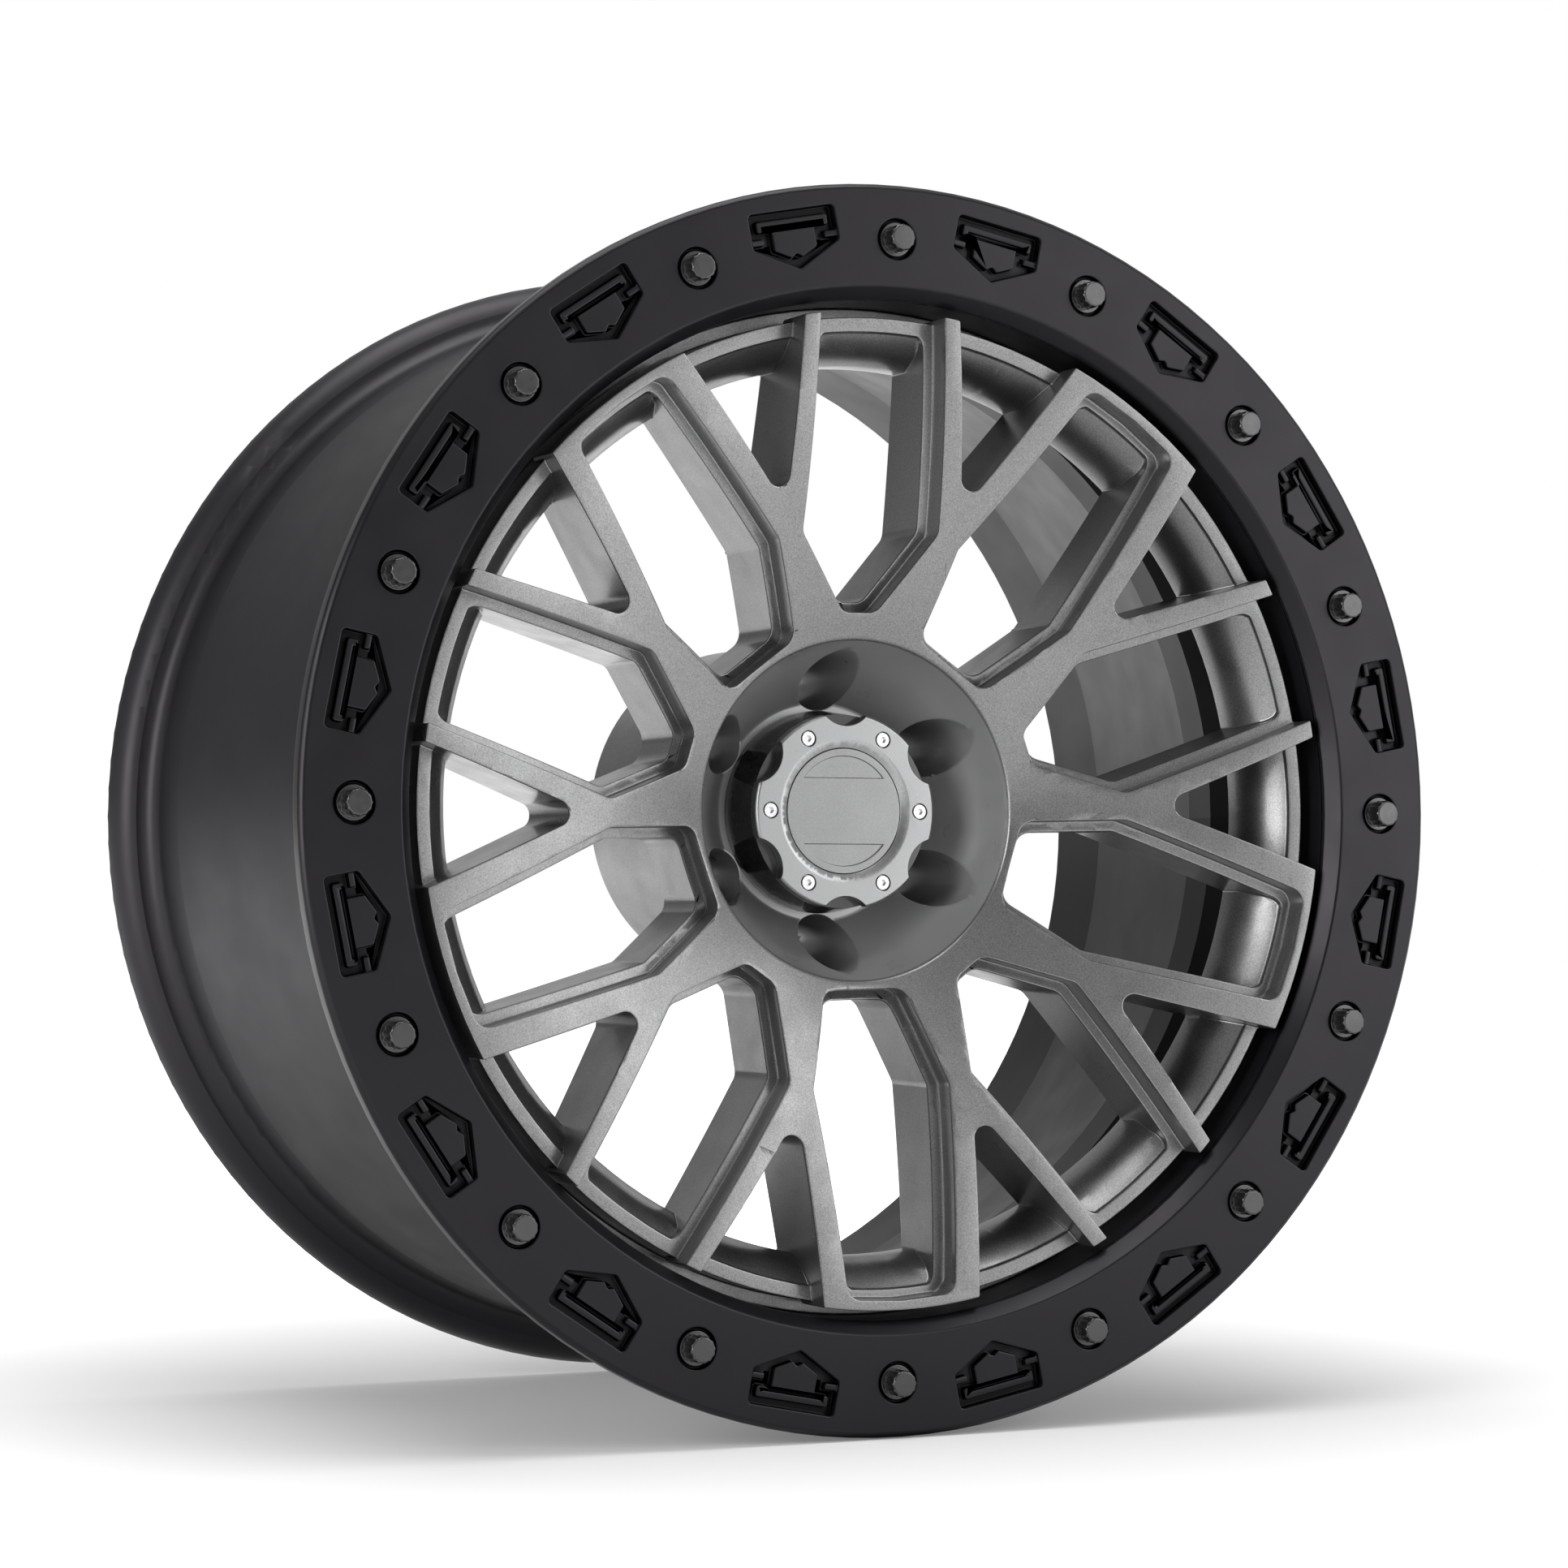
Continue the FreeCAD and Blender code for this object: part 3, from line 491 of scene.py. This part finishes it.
class WHEEL_OT_centre_cap(WheelOperator, Operator):
    """Finish the centre cap: gloss body, silver bezel, grey disc, steel screws"""
    bl_idname = "wheel.centre_cap"
    bl_label = "Centre cap"

    def execute(self, context):
        finish, edges = context.scene.wheel_finish, context.scene.wheel_edges
        silver = metallic_paint("cap_silver_grain", finish.cap_silver, 2600.0, 0.12, 0.30, 1.0)
        grey = metallic_paint("cap_disc_grain", finish.disc_grey, 2600.0, 0.14, 0.34, 1.0)
        paint("cap_body", gloss_coat("cap_gloss_black", finish.cap_black, 0.22))
        paint("cap_bezel", silver)
        paint("cap_disc", grey)
        paint("cap_screws", turned_steel("screw_steel", finish.steel, 0.25))
        paint("cap_seal", soft_rubber("seal_rubber", finish.rubber))
        paint("cap_clip", turned_steel("clip_steel", finish.steel, 0.3))
        broken_edges(("cap_bezel",), "cap_bezel_dressed", edges.cap, silver)
        broken_edges(("cap_disc",), "cap_disc_dressed", edges.cap, grey)
        return {"FINISHED"}


class WHEEL_OT_stage(WheelOperator, Operator):
    """Set up the pale floor, the soft lights and the camera"""
    bl_idname = "wheel.stage"
    bl_label = "Stage"

    def execute(self, context):
        stage = context.scene.wheel_stage
        self.floor(stage)
        self.backdrop(context.scene)
        self.lights()
        self.camera(context.scene, stage)
        context.scene.view_settings.view_transform = "Standard"
        return {"FINISHED"}

    def seen_directly(self, tree):
        """One for rays from the camera and for mirrored or transmitted ones, else zero."""
        path = tree.nodes.new("ShaderNodeLightPath")
        total = path.outputs["Is Camera Ray"]
        for name in ("Is Glossy Ray", "Is Transmission Ray"):
            add = tree.nodes.new("ShaderNodeMath")
            add.operation = "MAXIMUM"
            tree.links.new(total, add.inputs[0])
            tree.links.new(path.outputs[name], add.inputs[1])
            total = add.outputs[0]
        return total

    def floor(self, stage):
        bpy.ops.object.select_all(action="DESELECT")
        bpy.ops.mesh.primitive_plane_add(size=stage.floor_size,
                                         location=(0, 0, RING_LOW.z - FLOOR_GAP))
        floor = bpy.context.object
        floor.name = "studio_floor"
        material = bpy.data.materials.new("pale_floor")
        material.use_nodes = True
        tree = material.node_tree
        tree.nodes.clear()
        matt = tree.nodes.new("ShaderNodeBsdfDiffuse")
        matt.inputs["Color"].default_value = (FLOOR_WHITE, FLOOR_WHITE, FLOOR_WHITE, 1)
        glow = tree.nodes.new("ShaderNodeEmission")
        coords = tree.nodes.new("ShaderNodeTexCoord")
        away = tree.nodes.new("ShaderNodeVectorMath")
        away.operation = "LENGTH"
        tree.links.new(coords.outputs["Object"], away.inputs[0])
        fade = tree.nodes.new("ShaderNodeMapRange")
        fade.interpolation_type = "SMOOTHSTEP"
        for key, value in zip(("From Min", "From Max", "To Min", "To Max"),
                              (*FLOOR_FADE, stage.floor_glow, 1.0)):
            fade.inputs[key].default_value = value
        tree.links.new(away.outputs["Value"], fade.inputs["Value"])
        scale = tree.nodes.new("ShaderNodeMath")
        scale.operation = "MULTIPLY"
        tree.links.new(self.seen_directly(tree), scale.inputs[0])
        tree.links.new(fade.outputs["Result"], scale.inputs[1])
        tree.links.new(scale.outputs[0], glow.inputs["Strength"])
        both = tree.nodes.new("ShaderNodeAddShader")
        tree.links.new(matt.outputs[0], both.inputs[0])
        tree.links.new(glow.outputs[0], both.inputs[1])
        out = tree.nodes.new("ShaderNodeOutputMaterial")
        tree.links.new(both.outputs[0], out.inputs["Surface"])
        floor.data.materials.append(material)

    def backdrop(self, scene):
        """White to the camera. Paint and metal mirror it paler at the right, above and far left."""
        world = bpy.data.worlds.new("studio_world")
        scene.world = world
        world.use_nodes = True
        tree = world.node_tree
        tree.nodes.clear()

        def math_node(operation, first, second, third=None):
            node = tree.nodes.new("ShaderNodeMath")
            node.operation = operation
            for socket, value in zip(node.inputs, (first, second, third)):
                if isinstance(value, (int, float)):
                    socket.default_value = value
                elif value is not None:
                    tree.links.new(value, socket)
            return node.outputs[0]

        path = tree.nodes.new("ShaderNodeLightPath").outputs
        coords = tree.nodes.new("ShaderNodeTexCoord")
        split = tree.nodes.new("ShaderNodeSeparateXYZ")
        tree.links.new(coords.outputs["Generated"], split.inputs[0])
        depth = math_node("ABSOLUTE", split.outputs["Y"], None)
        mirrored = math_node("MULTIPLY_ADD", split.outputs["X"], MIRROR_RIGHT, MIRROR_BASE)
        mirrored = math_node("MULTIPLY_ADD", split.outputs["Z"], MIRROR_UP, mirrored)
        mirrored = math_node("MULTIPLY_ADD", depth, MIRROR_DEPTH, mirrored)
        strip = math_node("MULTIPLY_ADD", split.outputs["X"], STRIP_SLOPE, STRIP_START)
        strip = math_node("MAXIMUM", math_node("MINIMUM", strip, 1.0), 0.0)
        mirrored = math_node("ADD", math_node("MAXIMUM", mirrored, MIRROR_LEAST), strip)
        mirrored = math_node("MINIMUM", mirrored, 1.0)
        by_mirror = math_node("MAXIMUM", path["Is Glossy Ray"], path["Is Transmission Ray"])
        level = math_node("MULTIPLY", mirrored, by_mirror)
        by_matt = math_node("MULTIPLY", path["Is Diffuse Ray"], WORLD_DIFFUSE)
        level = math_node("MAXIMUM", level, by_matt)
        level = math_node("MAXIMUM", level, path["Is Camera Ray"])
        back = tree.nodes.new("ShaderNodeBackground")
        back.inputs["Color"].default_value = (1, 1, 1, 1)
        tree.links.new(level, back.inputs["Strength"])
        out = tree.nodes.new("ShaderNodeOutputWorld")
        tree.links.new(back.outputs[0], out.inputs["Surface"])

    def lights(self):
        aim = Vector(LIGHT_AIM)
        soft_boxes = (
            ("key_softbox", (1.9, -2.3, 0.7), 1.5, 1.8, 26.0),
            ("top_softbox", (-0.1, -0.3, 2.2), 1.8, 1.6, 34.0),
            ("left_softbox", (-2.2, -1.05, 0.3), 0.9, 1.8, 34.0),
        )
        for name, place, width, height, power in soft_boxes:
            bpy.ops.object.light_add(type="AREA", location=place)
            lamp = bpy.context.object
            lamp.name = name
            lamp.data.shape = "RECTANGLE"
            lamp.data.size = width
            lamp.data.size_y = height
            lamp.data.energy = power
            lamp.rotation_euler = (aim - Vector(place)).to_track_quat("-Z", "Y").to_euler()

    def camera(self, scene, stage):
        turn = (math.pi / 2 + stage.camera_rise, 0, stage.camera_azimuth)
        bpy.ops.object.camera_add(location=stage.camera_place, rotation=turn)
        camera = bpy.context.object
        camera.name = "photo_camera"
        camera.data.sensor_width = 36.0
        camera.data.lens = stage.camera_lens
        scene.camera = camera


STEPS = (WHEEL_OT_spoke_centre, WHEEL_OT_barrel, WHEEL_OT_bead_ring, WHEEL_OT_ring_bolts,
         WHEEL_OT_centre_cap, WHEEL_OT_stage)


class WHEEL_PT_steps(Panel):
    """Lists the build steps and the values they use"""
    bl_idname = "WHEEL_PT_steps"
    bl_label = "Car wheel"
    bl_space_type = "VIEW_3D"
    bl_region_type = "UI"
    bl_category = "Wheel"

    def draw(self, context):
        column = self.layout.column()
        for step in STEPS:
            column.operator(step.bl_idname)
        for name, kind in GROUPS.items():
            for field in kind.__annotations__:
                column.prop(getattr(context.scene, name), field)


GROUPS = {"wheel_finish": WheelFinish, "wheel_edges": WheelEdges, "wheel_stage": WheelStage}


def register():
    for cls in (*GROUPS.values(), *STEPS, WHEEL_PT_steps):
        bpy.utils.register_class(cls)
    for name, group in GROUPS.items():
        setattr(bpy.types.Scene, name, PointerProperty(type=group))


def unregister():
    for name in GROUPS:
        delattr(bpy.types.Scene, name)
    for cls in (WHEEL_PT_steps, *reversed(STEPS), *GROUPS.values()):
        bpy.utils.unregister_class(cls)


def main():
    register()
    bpy.ops.wheel.spoke_centre()
    bpy.ops.wheel.barrel()
    bpy.ops.wheel.bead_ring()
    bpy.ops.wheel.ring_bolts()
    bpy.ops.wheel.centre_cap()
    bpy.ops.wheel.stage()


if __name__ == "__main__":
    main()
